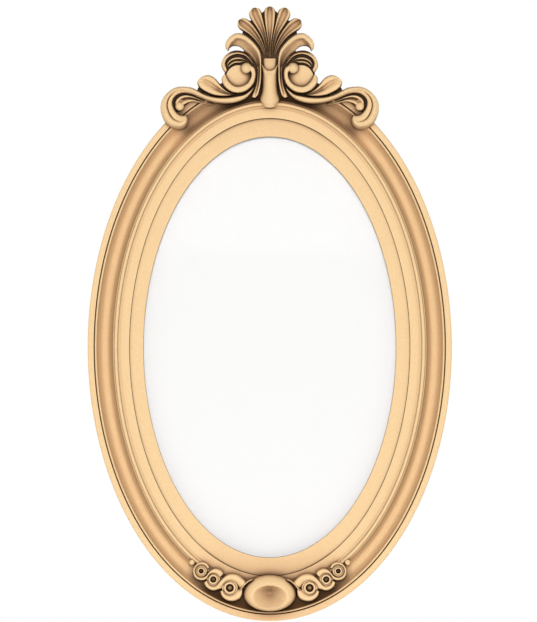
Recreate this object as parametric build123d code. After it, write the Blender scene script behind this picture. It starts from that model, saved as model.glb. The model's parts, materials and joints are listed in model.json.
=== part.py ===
from build123d import *
import os
from math import atan2, cos, degrees, hypot, radians, sin

# Oval picture frame with a carved shell crest and a cabochon cartouche.
# Millimetres. X is right, Z is up and the front faces -Y.
# Shapes are drawn about the oval's centre on the back plane of the wood; a height is
# a distance forward of that plane. The last step moves everything so that zero is the
# eye of the hanging ring.

# Oval sizes, as half widths and half heights
outer_half_width = 182.2
outer_half_height = 274.0
moulding_width = 41.6
moulding_height = 44.8
sight_half_width = 126.4
sight_half_height = 210.6

# Heights of the moulding's profile
lip_height = 17.0
groove_height = 15.4
ridge_height = 17.3
cove_height = 9.5
fillet_height = 18.4
bead_height = 21.6
quirk_height = 18.2
band_height = 17.4
shelf_height = 13.0

# Places across the moulding's profile, in from the outer edge
lip_bevel = 1.0
lip_bevel_drop = 1.2
lip_width = 5.9
groove_place = 6.6
ridge_place = 8.1
ridge_half_width = 1.0
cove_place = 17.5
cove_end = 25.4
cove_shares = (0.25, 0.5, 0.75, 1.0)
bead_place = 28.5
bead_half_width = 1.7
quirk_places = (31.0, 33.2)
quirk_rise = 0.1
edge_drop = 0.6

# Slip and glazing
slip_height = 15.6
slip_edge_round = 0.8
rabbet_depth = 32.2
glass_thickness = 2.0
card_thickness = 1.5
board_thickness = 3.0
board_recess = 0.3
layer_gap = 0.1
rabbet_gap = 0.5

# Fits, and how far cutting shapes reach past what they cut
glue_line = 0.3
dowel_gap = 0.05
screw_gap = 0.05
hole_end_gap = 0.5
cut_margin = 1.0
seat_reach = 10.0
trim_reach = 20.0
trim_corner_reach = 120.0
trim_heights = (-5.0, 40.0)
crest_field_size = 300.0

# Joinery
dowel_radius = 3.0
dowel_length = 40.0
dowel_height = 5.5
dowel_depths = (8.0, 25.0)
crest_dowel_length = 24.0
crest_dowel_height = 7.5
crest_dowel_spots = (-88.0, -30.0, 30.0, 88.0)
joint_turns = (45.0, 135.0, 225.0, 315.0)
section_step = 7.5

# Crest and cartouche heights
plate_back = 3.0
plate_front = 16.0
carving_foot = 8.0
bulge_limit = 0.3
fan_thickness = 1.2
flute_rims = (19.0, 26.0)
flute_hollows = (18.6, 23.4)
husk_edges = (21.0, 22.0)
husk_crown = (27.0, 29.0)
neck_height = 21.0
field_height = 19.6
wave_crown = 23.2
ribbon_crown = 24.0
wave_rim_drop = 1.6
eye_height = 23.5
eye_floor = 21.0
eye_round_share = 0.35
pearl_shoulder = 21.5

# Back hardware
button_turns = (0.0, 57.0, 123.0, 180.0, 237.0, 303.0)
button_inset = 10.0
button_reach = 18.0
button_tail = 6.0
button_width = 11.0
button_end_radius = 5.2
button_thickness = 1.4
button_gap = 0.1
button_bore_gap = 0.08
screw_radius = 2.0
screw_length = 8.0
screw_head_radius = 3.6
screw_head_height = 2.0
head_round_share = 0.6
strap_width = 14.0
strap_thickness = 1.2
strap_length = 28.5
strap_corner = 3.0
strap_screw_drops = (17.6, 25.2)
wire_radius = 1.25
wire_gap = 0.09
knuckle_drop = 3.0
knuckle_length = 11.0
knuckle_gap = 0.2
ring_half_width = 9.0
ring_corner = 2.5
ring_drop = 12.0
pad_turns = (33.0, 147.0, 213.0, 327.0)
pad_inset = 16.0
pad_radius = 6.0
pad_thickness = 6.0


def at(x, z, height):
    """Point at a height in front of the back plane."""
    return Vector(x, -height, z)


def spot(turn, depth):
    """Point of the oval at a turn, a depth in from the outer edge."""
    share = depth / moulding_width
    angle = radians(turn)
    x = (outer_half_width - share * moulding_width) * cos(angle)
    z = (outer_half_height - share * moulding_height) * sin(angle)
    return x, z


def oval(depth, grow=0.0):
    """Oval a depth in from the outer edge, drawn on the back plane."""
    width, _ = spot(0, depth)
    _, height = spot(90, depth)
    return Ellipse(width + grow, height + grow)


def slab(sketch, back, front):
    """Prism of a front-view sketch between two heights."""
    return extrude(Plane.XZ.offset(back) * sketch, front - back)


def pin(x, z, radius, back, front):
    """Round pin that points forward."""
    return slab(Pos(x, z) * Circle(radius), back, front)


def chain(turn, steps, start):
    """Closed profile at a turn; a step is an end point, or an arc's middle and end."""
    edges = []
    last = start
    for step in steps:
        points = [at(*spot(turn, depth), height) for depth, height in (last, *step)]
        edges.append(Line(*points) if len(points) == 2 else ThreePointArc(*points))
        last = step[-1]
    return Wire(edges)


def cove_side(end, height):
    """Points up one side of the cove, on a parabola from its lowest place to an end."""
    rise, run = height - cove_height, end - cove_place
    return [(cove_place + share * run, cove_height + share**2 * rise) for share in cove_shares]


def front_steps(lift):
    """Front of the moulding from the outer edge to the sight edge, grown outwards by a lift.

    Hollow corners and the undercut bead take twice the lift, to keep the same clearance there.
    """
    spread = 2 * lift
    ridge_start = ridge_place - ridge_half_width - lift
    ridge_end = ridge_place + ridge_half_width + lift
    bead_start = bead_place - bead_half_width - spread
    bead_end = bead_place + bead_half_width + spread
    outer_cove = cove_side(ridge_end, ridge_height - edge_drop)
    inner_cove = cove_side(cove_end - lift, fillet_height - edge_drop)
    quirk_start, quirk_end = quirk_places[0] + spread, quirk_places[1]
    corners = (
        ((lip_bevel, lip_height),),
        ((lip_width + lift, lip_height),),
        ((groove_place, groove_height + spread),),
        ((ridge_start, ridge_height - edge_drop),),
        ((ridge_place, ridge_height), (ridge_end, ridge_height - edge_drop)),
        (outer_cove[2], outer_cove[1]),
        (outer_cove[0], (cove_place, cove_height)),
        (inner_cove[0], inner_cove[1]),
        (inner_cove[2], inner_cove[3]),
        ((bead_start, fillet_height),),
        ((bead_place, bead_height), (bead_end, fillet_height + edge_drop)),
        ((quirk_start, quirk_height + quirk_rise), (quirk_end, quirk_height)),
        ((moulding_width, band_height),),
    )
    return [tuple((depth, height + lift) for depth, height in step) for step in corners]


def moulding_section(turn):
    """Whole section of the moulding, with the rabbet behind its lip."""
    steps = [((0.0, lip_height - lip_bevel_drop),)]
    steps += front_steps(0.0)
    steps.append(((moulding_width, shelf_height),))
    steps.append(((rabbet_depth, shelf_height),))
    steps.append(((rabbet_depth, 0.0),))
    steps.append(((0.0, 0.0),))
    return chain(turn, steps, (0.0, 0.0))


def seat_section(turn):
    """Section of the space that glued carvings keep out of."""
    shelf_reach = moulding_width + seat_reach
    steps = [((-glue_line, lip_height + glue_line),)]
    steps += front_steps(glue_line)
    steps.append(((shelf_reach, band_height + glue_line),))
    steps.append(((shelf_reach, 0.0),))
    steps.append(((-glue_line, 0.0),))
    return chain(turn, steps, (-glue_line, 0.0))


def sweep_sections(section, middle):
    """Loft of sections that runs a little past a quarter of the oval."""
    count = 8
    turns = [middle + section_step * step for step in range(-count, count + 1)]
    return Solid.make_loft([section(turn) for turn in turns])


def quarter(middle):
    """Wedge that trims a segment to its two joint planes."""
    ends = []
    for turn in (middle - 45.0, middle + 45.0):
        inside, outside = spot(turn, moulding_width + trim_reach), spot(turn, -trim_reach)
        ends.append((inside, outside))
    corner = spot(middle, -trim_corner_reach)
    outline = [ends[0][0], ends[0][1], corner, ends[1][1], ends[1][0]]
    return slab(make_face(Polyline(*outline, close=True)), *trim_heights)


def joint_pin(turn, depth, radius, length):
    """Dowel or dowel hole square to a joint plane."""
    x, z = spot(turn, depth)
    inner, outer = spot(turn, moulding_width), spot(turn, 0.0)
    across = Vector(outer[0] - inner[0], 0, outer[1] - inner[1]).normalized()
    along = across.cross(Vector(0, 1, 0))
    plane = Plane(origin=at(x, z, dowel_height), z_dir=along)
    return plane * Cylinder(radius, length)


def joint_pins(radius, length):
    return [joint_pin(turn, depth, radius, length) for turn in joint_turns for depth in dowel_depths]


def crest_pins(radius, length):
    """Upright dowels from the ring's top edge into the crest's ground."""
    pins = []
    for x in crest_dowel_spots:
        edge = outer_half_height * (1 - (x / outer_half_width) ** 2) ** 0.5
        upright = Plane(origin=at(x, edge, crest_dowel_height), z_dir=(0, 0, 1))
        pins.append(upright * Cylinder(radius, length))
    return pins


def outline(pairs, shift):
    """Front-view face between the two edges of a carving."""
    first = [(x, z + shift) for (x, z), _ in pairs]
    second = [(x, z + shift) for _, (x, z) in reversed(pairs)]
    edges = [Spline(*first), Line(first[-1], second[0]), Spline(*second), Line(second[-1], first[0])]
    return make_face(edges)


def carving(pairs, shift, outer, middle, inner, foot=carving_foot):
    """Loft along two edges; each height is given at the start and at the end."""
    sections = []
    for index, (first, second) in enumerate(pairs):
        share = index / (len(pairs) - 1)
        ends = (outer, middle, inner)
        outer_now, middle_now, inner_now = [low + share * (high - low) for low, high in ends]
        x_mid, z_mid = 0.5 * (first[0] + second[0]), 0.5 * (first[1] + second[1]) + shift
        level = 0.5 * (outer_now + inner_now)
        limit = bulge_limit * hypot(first[0] - second[0], first[1] - second[1])
        middle_now = level + max(-limit, min(limit, middle_now - level))
        foot_first = at(first[0], first[1] + shift, foot)
        foot_second = at(second[0], second[1] + shift, foot)
        top_first = at(first[0], first[1] + shift, outer_now)
        top_second = at(second[0], second[1] + shift, inner_now)
        edges = [
            Line(foot_first, top_first),
            ThreePointArc(top_first, at(x_mid, z_mid, middle_now), top_second),
            Line(top_second, foot_second),
            Line(foot_second, foot_first),
        ]
        sections.append(Wire(edges))
    return Solid.make_loft(sections)


def dome(x, z, radius, shoulder, top):
    """Round boss with a ball-shaped front."""
    rise = top - shoulder
    ball_radius = (radius**2 + rise**2) / (2 * rise)
    ball = Pos(x, ball_radius - top, z) * Sphere(ball_radius)
    return pin(x, z, radius, carving_foot, shoulder) + (pin(x, z, radius, shoulder, top + cut_margin) & ball)


# Crest edges, in pairs of points (x, z above the ring's top edge), left side
s_scroll_edges = (
    ((-15.2, -12.4), (-15.6, -14.0)),
    ((-18.6, -16.0), (-17.8, -19.0)),
    ((-25.0, -20.6), (-23.5, -25.0)),
    ((-32.0, -22.3), (-31.0, -28.6)),
    ((-40.0, -23.9), (-39.5, -30.3)),
    ((-49.0, -24.4), (-49.0, -30.2)),
    ((-57.0, -23.6), (-57.0, -29.0)),
    ((-65.0, -21.2), (-64.5, -26.7)),
    ((-71.5, -17.7), (-71.0, -24.2)),
    ((-78.0, -14.5), (-78.0, -21.3)),
    ((-85.0, -13.5), (-84.5, -20.1)),
    ((-93.0, -14.0), (-90.5, -21.0)),
    ((-100.0, -17.6), (-94.5, -23.6)),
    ((-105.5, -23.2), (-96.8, -27.0)),
    ((-108.8, -30.0), (-97.2, -30.6)),
    ((-109.2, -37.0), (-96.2, -34.4)),
    ((-107.2, -44.2), (-94.6, -37.6)),
    ((-103.2, -51.2), (-92.6, -40.0)),
    ((-98.0, -54.9), (-90.8, -41.4)),
    ((-92.0, -56.4), (-89.2, -42.1)),
    ((-86.8, -55.7), (-87.6, -42.4)),
    ((-83.0, -52.7), (-86.4, -42.4)),
    ((-81.2, -48.5), (-85.5, -42.2)),
    ((-81.8, -44.8), (-84.9, -42.0)),
)
hook_leaf_edges = (
    ((-50.0, -31.2), (-50.0, -32.2)),
    ((-57.0, -29.9), (-57.0, -32.0)),
    ((-63.5, -28.0), (-63.5, -31.2)),
    ((-70.5, -25.5), (-70.5, -29.6)),
    ((-77.5, -22.6), (-76.5, -28.6)),
    ((-83.5, -21.4), (-81.0, -29.4)),
    ((-88.5, -22.2), (-84.0, -30.8)),
    ((-92.4, -24.5), (-86.0, -32.0)),
    ((-94.8, -27.8), (-87.5, -32.6)),
    ((-95.2, -31.0), (-89.0, -33.0)),
)
c_scroll_edges = (
    ((-45.3, -1.2), (-44.7, -1.2)),
    ((-47.9, -4.8), (-43.3, -3.6)),
    ((-47.6, -9.4), (-41.6, -7.0)),
    ((-45.0, -13.8), (-39.2, -10.0)),
    ((-41.2, -17.2), (-36.4, -12.2)),
    ((-36.5, -19.4), (-33.8, -13.3)),
    ((-31.6, -20.0), (-31.0, -13.5)),
    ((-26.8, -19.2), (-27.8, -12.9)),
    ((-22.4, -17.0), (-24.6, -11.6)),
    ((-18.6, -13.8), (-21.8, -9.4)),
    ((-15.8, -9.8), (-19.8, -6.4)),
    ((-14.3, -4.6), (-18.7, -3.4)),
    ((-14.1, 0.6), (-18.6, -0.4)),
    ((-15.5, 5.2), (-19.6, 1.4)),
    ((-19.6, 7.8), (-21.8, 3.8)),
)
acanthus_edges = (
    ((-8.4, 5.0), (-12.6, 3.6)),
    ((-8.4, 11.0), (-13.2, 8.4)),
    ((-8.7, 17.0), (-15.2, 12.4)),
    ((-10.2, 22.6), (-17.8, 16.4)),
    ((-13.3, 27.4), (-21.3, 19.9)),
    ((-17.2, 31.9), (-25.0, 22.4)),
    ((-22.4, 36.3), (-27.4, 24.6)),
    ((-27.6, 39.2), (-29.4, 26.3)),
    ((-33.0, 39.9), (-32.4, 27.4)),
    ((-37.4, 38.2), (-35.2, 27.6)),
    ((-40.8, 35.4), (-37.6, 27.2)),
    ((-43.3, 32.0), (-39.4, 26.0)),
    ((-44.6, 28.2), (-40.5, 24.6)),
    ((-43.9, 25.2), (-41.0, 23.2)),
    ((-42.2, 23.0), (-41.3, 22.3)),
)
outer_curl_edges = (
    ((-15.2, 10.4), (-17.2, 9.4)),
    ((-16.9, 13.4), (-19.4, 12.2)),
    ((-20.0, 17.4), (-22.2, 15.4)),
    ((-23.6, 20.5), (-25.2, 17.4)),
    ((-27.6, 22.2), (-28.4, 18.5)),
    ((-31.8, 22.9), (-32.0, 19.0)),
    ((-36.5, 22.5), (-35.8, 18.4)),
    ((-40.2, 21.0), (-39.0, 17.0)),
    ((-43.6, 18.6), (-41.8, 14.9)),
    ((-46.3, 15.2), (-43.5, 12.4)),
    ((-48.0, 11.4), (-44.2, 9.8)),
    ((-48.4, 8.0), (-43.9, 7.3)),
    ((-47.4, 4.8), (-42.9, 5.0)),
    ((-45.8, 2.2), (-42.4, 3.4)),
    ((-44.4, 0.9), (-43.0, 2.0)),
)
inner_curl_edges = (
    ((-22.2, 11.9), (-23.2, 11.0)),
    ((-25.6, 14.4), (-26.2, 10.8)),
    ((-30.0, 16.2), (-29.4, 9.3)),
    ((-34.2, 16.2), (-33.2, 9.3)),
    ((-38.4, 14.8), (-36.4, 8.4)),
    ((-41.2, 12.7), (-38.6, 6.9)),
    ((-42.7, 9.9), (-40.0, 5.8)),
    ((-42.7, 6.8), (-41.4, 6.2)),
)
side_leaf_edges = (
    ((-35.2, -20.9), (-35.6, -21.7)),
    ((-40.0, -19.2), (-41.0, -23.0)),
    ((-44.6, -16.0), (-47.0, -23.5)),
    ((-48.2, -12.6), (-52.5, -23.2)),
    ((-51.4, -8.8), (-58.0, -22.2)),
    ((-54.6, -5.2), (-63.0, -20.2)),
    ((-58.2, -2.9), (-67.0, -18.0)),
    ((-61.9, -2.0), (-69.8, -15.6)),
    ((-65.6, -2.6), (-71.4, -13.2)),
    ((-69.2, -4.6), (-72.3, -11.2)),
    ((-71.7, -7.2), (-72.5, -9.4)),
)
stem_edges = (
    ((-12.4, 2.6), (-8.9, 3.9)),
    ((-12.6, -1.5), (-8.9, -0.5)),
    ((-13.1, -6.5), (-9.1, -7.0)),
    ((-13.9, -12.0), (-9.9, -13.4)),
    ((-15.4, -17.0), (-11.2, -19.0)),
    ((-16.9, -20.8), (-12.6, -22.6)),
    ((-17.8, -23.6), (-14.4, -24.8)),
)
flute_one_edges = (
    ((-3.4, 17.4), (-1.8, 17.0)),
    ((-4.4, 24.6), (-2.3, 25.4)),
    ((-6.1, 32.0), (-2.9, 34.6)),
    ((-8.3, 37.4), (-4.0, 41.7)),
    ((-11.5, 42.7), (-5.3, 48.0)),
    ((-15.2, 48.0), (-6.6, 54.2)),
    ((-18.6, 53.2), (-7.5, 58.0)),
    ((-20.5, 57.4), (-8.8, 62.4)),
    ((-20.2, 61.2), (-11.0, 64.6)),
    ((-18.0, 64.2), (-13.6, 65.4)),
    ((-16.4, 65.0), (-15.2, 65.3)),
)
flute_two_edges = (
    ((-6.0, 18.0), (-4.2, 17.8)),
    ((-7.6, 22.0), (-5.1, 24.6)),
    ((-9.9, 26.3), (-6.6, 29.8)),
    ((-13.2, 30.3), (-8.7, 35.0)),
    ((-17.0, 34.6), (-11.4, 40.4)),
    ((-21.0, 38.0), (-14.9, 45.8)),
    ((-25.2, 40.7), (-18.5, 50.5)),
    ((-29.6, 43.6), (-22.3, 53.8)),
    ((-32.0, 47.0), (-25.9, 55.0)),
    ((-32.0, 51.0), (-28.6, 54.4)),
    ((-31.0, 53.0), (-30.0, 53.4)),
)

# Middle pieces of the crest: (half width, z above the ring's top edge)
centre_flute_widths = (
    (1.0, 15.6),
    (1.3, 26.0),
    (2.4, 36.0),
    (4.5, 46.0),
    (5.8, 56.0),
    (5.8, 61.0),
    (4.6, 64.4),
    (2.6, 66.0),
    (0.8, 66.5),
)
husk_widths = (
    (2.4, -34.6),
    (5.2, -33.6),
    (8.0, -31.0),
    (9.4, -27.5),
    (9.3, -24.0),
    (8.6, -18.5),
    (7.9, -11.5),
    (7.8, -4.0),
    (7.8, 0.5),
    (7.9, 4.8),
)
shell_ground = (
    (0.0, 15.2),
    (-5.6, 17.6),
    (-10.4, 27.4),
    (-17.2, 36.0),
    (-25.0, 42.3),
    (-29.9, 46.2),
    (-30.4, 50.6),
    (-27.2, 53.2),
    (-23.2, 52.4),
    (-18.0, 52.9),
    (-19.2, 60.0),
    (-16.2, 63.8),
    (-12.6, 63.8),
    (-8.2, 60.4),
    (-4.4, 63.2),
    (0.0, 65.2),
)

# Round cups of the husk and of the shell's neck: half width, bottom, shoulder and top
husk_cup = (7.7, 1.4, 6.4, 20.0)
neck_cup = (5.8, 3.8, 6.0, 14.4)

# Ground of the crest: its middle web, and discs (x, z, radius) behind the scrolls
web_outline = ((0, -20), (-24, -20), (-24, 12), (-16, 14), (-13, 22), (0, 22))
middle_discs = ((-31.0, -3.0, 14.5), (-33.0, 8.0, 12.5))
side_discs = ((-90.0, -30.5, 9.5), (-67.5, -17.5, 5.0))

# Field inside the C scroll, and balls at the scrolls' ends: x, z, radius, shoulder, top
field_disc = (-31.0, -5.0, 12.0)
c_scroll_ball = (-23.2, 4.8, 5.6, 27.0, 32.0)
hook_leaf_ball = (-90.0, -32.8, 4.5, 20.0, 24.0)

# Crest carvings: edges, then the heights of the first edge, the middle and the second edge,
# each at the start and at the end
crest_carvings = {
    "s_scroll": (s_scroll_edges, (23.0, 25.0), (26.0, 28.0), (22.0, 23.0)),
    "hook_leaf": (hook_leaf_edges, (19.0, 20.0), (20.0, 22.0), (19.5, 21.0)),
    "c_scroll": (c_scroll_edges, (25.0, 27.0), (28.5, 30.0), (25.0, 27.0)),
    "acanthus_leaf": (acanthus_edges, (25.0, 28.0), (21.0, 25.5), (20.0, 24.0)),
    "outer_curl": (outer_curl_edges, (20.0, 22.0), (22.0, 24.0), (20.0, 21.0)),
    "inner_curl": (inner_curl_edges, (21.0, 21.0), (19.0, 19.0), (20.0, 20.0)),
    "side_leaf": (side_leaf_edges, (22.0, 25.0), (21.0, 25.0), (22.0, 24.0)),
    "stem": (stem_edges, (22.0, 22.0), (23.5, 23.5), (22.0, 22.0)),
}

# Cartouche edges, in pairs of points (x, z above the ring's bottom edge), left side
large_wave_edges = (
    ((-25.2, 41.0), (-29.6, 33.4)),
    ((-28.0, 44.2), (-32.2, 37.0)),
    ((-32.5, 47.0), (-35.2, 39.6)),
    ((-38.0, 48.0), (-39.2, 40.2)),
    ((-43.0, 46.8), (-43.2, 39.0)),
    ((-47.5, 43.6), (-46.2, 36.2)),
    ((-51.5, 39.6), (-48.4, 33.2)),
    ((-53.6, 36.6), (-51.6, 31.8)),
    ((-56.4, 35.6), (-56.0, 30.7)),
    ((-59.4, 36.6), (-60.4, 31.8)),
    ((-61.2, 39.0), (-64.0, 34.6)),
    ((-61.6, 41.4), (-66.0, 38.4)),
)
wave_lobe_edges = (
    ((-49.6, 29.6), (-46.2, 31.6)),
    ((-48.6, 26.0), (-44.8, 28.9)),
    ((-46.0, 22.9), (-42.8, 27.3)),
    ((-42.0, 20.6), (-40.6, 26.7)),
    ((-37.7, 20.0), (-38.2, 26.9)),
    ((-33.4, 20.8), (-35.8, 28.0)),
    ((-29.6, 22.8), (-34.0, 29.6)),
    ((-27.4, 25.4), (-32.6, 31.0)),
    ((-26.9, 28.4), (-30.8, 31.8)),
)
small_wave_edges = (
    ((-46.0, 48.4), (-50.6, 43.6)),
    ((-48.4, 51.4), (-52.4, 45.9)),
    ((-53.0, 53.2), (-55.0, 47.4)),
    ((-57.5, 52.4), (-58.4, 47.2)),
    ((-61.2, 49.4), (-61.0, 45.0)),
    ((-63.4, 46.6), (-62.2, 43.0)),
    ((-65.8, 44.9), (-64.8, 41.2)),
    ((-69.0, 44.4), (-69.2, 41.0)),
    ((-72.0, 45.6), (-73.6, 42.6)),
    ((-73.9, 48.4), (-76.4, 46.4)),
    ((-74.0, 51.6), (-76.9, 51.6)),
    ((-72.4, 54.6), (-75.0, 55.8)),
    ((-69.6, 56.2), (-71.3, 58.8)),
    ((-66.4, 56.0), (-66.4, 59.6)),
    ((-63.8, 54.2), (-62.2, 57.6)),
    ((-63.0, 52.6), (-60.2, 54.0)),
)
ribbon_edges = (
    ((-21.4, 42.0), (-20.6, 41.0)),
    ((-25.2, 38.4), (-23.8, 37.0)),
    ((-27.8, 34.8), (-26.2, 33.8)),
    ((-29.2, 32.0), (-27.6, 31.2)),
)
wave_eye_rings = (
    (-39.8, 33.6, 5.8, 3.8),
    (-56.4, 41.6, 4.6, 3.1),
    (-68.6, 50.4, 4.6, 2.8),
)
pearl_spot = (-77.8, 59.0)
pearl_radius = 3.2
cabochon_centre = 28.2
cabochon_half_width = 26.2
cabochon_half_height = 18.2
cabochon_rim_height = 30.0
cabochon_rim_share = 0.7
cabochon_slope = ((1.0, 11.0), (0.96, 7.5), (0.84, 3.0))
dish_share = 0.64
dish_depth = 6.5
dish_drop = 2.5

knuckle_height = outer_half_height - knuckle_drop
crest_shift = outer_half_height
cartouche_shift = -outer_half_height
nodes = {}


def both_sides(name, left):
    """Store a left piece and its mirror image."""
    nodes["left_" + name] = left
    nodes["right_" + name] = mirror(left, Plane.YZ)


def ring_and_joinery():
    screw_bore, screw_end = screw_radius + screw_gap, screw_length + hole_end_gap
    screw_holes = [pin(x, z, screw_bore, -cut_margin, screw_end) for x, z in screw_spots()]
    dowel_holes = joint_pins(dowel_radius + dowel_gap, dowel_length + 2 * hole_end_gap)
    crest_holes = crest_pins(dowel_radius + dowel_gap, crest_dowel_length + 2 * hole_end_gap)
    for name, middle in (("right", 0.0), ("top", 90.0), ("left", 180.0), ("bottom", 270.0)):
        segment = sweep_sections(moulding_section, middle) & quarter(middle)
        segment -= dowel_holes
        segment -= screw_holes
        if name == "top":
            segment -= crest_holes
        nodes["ring_" + name] = segment
    nodes["ring_dowels"] = Compound(joint_pins(dowel_radius, dowel_length))
    nodes["crest_dowels"] = Compound(crest_pins(dowel_radius, crest_dowel_length))


def glazing():
    """Slip, glass, card and board, laid into the rabbet from behind."""
    board_front = board_recess + board_thickness
    card_back = board_front + layer_gap
    glass_back = card_back + card_thickness + layer_gap
    slip_back = glass_back + glass_thickness + layer_gap
    opening = Ellipse(sight_half_width, sight_half_height)
    flange = slab(oval(rabbet_depth, -rabbet_gap) - opening, slip_back, shelf_height - layer_gap)
    body = slab(oval(moulding_width, -rabbet_gap) - opening, slip_back, slip_height)
    slip = flange + body
    sight_edge = slip.edges().group_by(Axis.Y)[0].sort_by(lambda edge: edge.length)[0]
    nodes["sight_slip"] = fillet(sight_edge, slip_edge_round)
    sheet = oval(rabbet_depth, -rabbet_gap)
    nodes["glass"] = slab(sheet, glass_back, glass_back + glass_thickness)
    nodes["picture_card"] = slab(sheet, card_back, card_back + card_thickness)
    nodes["backing_board"] = slab(sheet, board_recess, board_front)


def shell():
    """Five hollow flutes on one fan-shaped ground."""
    foot = plate_front + glue_line
    middle = [((-width, z), (width, z)) for width, z in centre_flute_widths]
    flutes = [carving(middle, crest_shift, flute_rims, flute_hollows, flute_rims, foot)]
    for edges in (flute_one_edges, flute_two_edges):
        left = carving(edges, crest_shift, flute_rims, flute_hollows, flute_rims, foot)
        flutes += [left, mirror(left, Plane.YZ)]
    return slab(shell_outline(), foot, foot + fan_thickness) + flutes


def shell_outline():
    left = [(x, z + crest_shift) for x, z in shell_ground]
    right = [(-x, z) for x, z in reversed(left[1:-1])]
    return make_face(Polyline(*left, *right, close=True))


def husk():
    """Bell-shaped husk with a round cup for the shell's neck."""
    pairs = [((-width, z), (width, z)) for width, z in husk_widths]
    bell = carving(pairs, crest_shift, husk_edges, husk_crown, husk_edges)
    return bell - slab(cup(*husk_cup), carving_foot, 2 * husk_crown[1])


def cup(half, bottom, shoulder, top):
    """Front-view face with a round bottom and straight sides."""
    left, right = (-half, shoulder + crest_shift), (half, shoulder + crest_shift)
    high = top + crest_shift
    edges = [
        ThreePointArc(left, (0, bottom + crest_shift), right),
        Line(right, (half, high)),
        Line((half, high), (-half, high)),
        Line((-half, high), left),
    ]
    return make_face(edges)


def middle_line(pairs):
    """Points half-way between the two edges of a carving on the crest."""
    middles = [(0.5 * (first[0] + second[0]), 0.5 * (first[1] + second[1])) for first, second in pairs]
    return [(x, z + crest_shift) for x, z in middles]


def between(first, second):
    """Front-view face of the ground from one carving's middle line to another's."""
    return make_face(Polyline(*middle_line(first), *reversed(middle_line(second)), close=True))


def ground(edge_sets, discs):
    """Front-view face of a ground: its carvings' outlines joined by discs."""
    faces = [outline(edges, crest_shift) for edges in edge_sets]
    faces += [Pos(x, z + crest_shift) * Circle(radius) for x, z, radius in discs]
    return Sketch() + faces


def crest_plates():
    """Grounds of the crest: one in the middle and one behind each shoulder scroll."""
    half = ground((c_scroll_edges, acanthus_edges, outer_curl_edges, inner_curl_edges), middle_discs)
    half += make_face(Polyline(*[(x, z + crest_shift) for x, z in web_outline], close=True))
    half += between(acanthus_edges[2:8], flute_two_edges[:8])
    half += between(acanthus_edges[:6], outer_curl_edges[:5])
    middle = half + mirror(half, Plane.YZ) + shell_outline()
    side = ground((s_scroll_edges, hook_leaf_edges, side_leaf_edges), side_discs)
    side += between(s_scroll_edges[8:12], hook_leaf_edges[3:7])
    ring = oval(0.0, glue_line)
    holes = crest_pins(dowel_radius + dowel_gap, crest_dowel_length + 2 * hole_end_gap)
    nodes["crest_plate"] = slab(middle - ring, plate_back, plate_front) - holes
    both_sides("side_plate", slab(side - ring, plate_back, plate_front) - holes)


def ball(x, z, radius, shoulder, top):
    """Ball at a scroll's end, on the crest."""
    return dome(x, z + crest_shift, radius, shoulder, top)


def crest():
    crest_plates()
    field = Pos(0, outer_half_height) * Rectangle(crest_field_size, crest_field_size) - oval(0.0)
    seat = slab(field, 0.0, plate_front + glue_line)
    seat += sweep_sections(seat_section, 90.0)
    nodes["shell"] = shell()
    nodes["shell_neck"] = slab(cup(*neck_cup), plate_front + glue_line, neck_height)
    nodes["husk"] = husk() - seat
    x, z, radius = field_disc
    scroll_field = pin(x, z + crest_shift, radius, carving_foot, field_height)
    additions = {
        "c_scroll": [ball(*c_scroll_ball), scroll_field],
        "hook_leaf": [ball(*hook_leaf_ball)],
    }
    for name, (edges, *heights) in crest_carvings.items():
        piece = carving(edges, crest_shift, *heights)
        for addition in additions.get(name, []):
            piece += addition
        both_sides(name, piece - seat)


def cabochon():
    """Oval boss with a dished front."""
    top = cabochon_rim_height
    rows = [(1.0, carving_foot)]
    rows += [(share, top - drop) for share, drop in cabochon_slope]
    rows.append((cabochon_rim_share, top))
    sections = []
    centre = cabochon_centre + cartouche_shift
    for share, height in rows:
        drop = dish_drop * (1 - share) / (1 - cabochon_rim_share)
        plane = Plane.XZ.offset(height) * Pos(0, centre - drop)
        ring = Ellipse(share * cabochon_half_width, share * cabochon_half_height)
        sections.append((plane * ring).wire())
    boss = Solid.make_loft(sections)
    reach = dish_share * cabochon_half_width
    ball_radius = (reach**2 + dish_depth**2) / (2 * dish_depth)
    hollow = scale(Sphere(ball_radius), (1, 1, cabochon_half_height / cabochon_half_width))
    return boss - Pos(0, -(top + ball_radius - dish_depth), centre - dish_drop) * hollow


def wave_eye(x, z, outer, inner):
    """Raised ring around a hollow."""
    z += cartouche_shift
    ring = pin(x, z, outer, carving_foot, eye_height) - pin(x, z, inner, eye_floor, 2 * eye_height)
    return fillet(ring.edges().group_by(Axis.Y)[0], eye_round_share * (outer - inner))


def cartouche():
    seat = sweep_sections(seat_section, 270.0)
    nodes["cabochon"] = cabochon() - seat
    for name, edges, crown in (
        ("large_wave", large_wave_edges, wave_crown),
        ("small_wave", small_wave_edges, wave_crown),
        ("wave_lobe", wave_lobe_edges, wave_crown),
        ("wave_ribbon", ribbon_edges, ribbon_crown),
    ):
        rims = (crown - wave_rim_drop, crown - wave_rim_drop)
        both_sides(name, carving(edges, cartouche_shift, rims, (crown, crown), rims) - seat)
    both_sides("wave_eyes", Compound([wave_eye(*eye) - seat for eye in wave_eye_rings]))
    x, z = pearl_spot
    pearl = dome(x, z + cartouche_shift, pearl_radius, pearl_shoulder, pearl_shoulder + pearl_radius) - seat
    nodes["pearls"] = Compound([pearl, mirror(pearl, Plane.YZ)])


def button_spots():
    return [spot(turn, rabbet_depth - button_inset) for turn in button_turns]


def strap_screw_spots():
    return [(0.0, knuckle_height - drop) for drop in strap_screw_drops]


def screw_spots():
    return button_spots() + strap_screw_spots()


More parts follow.
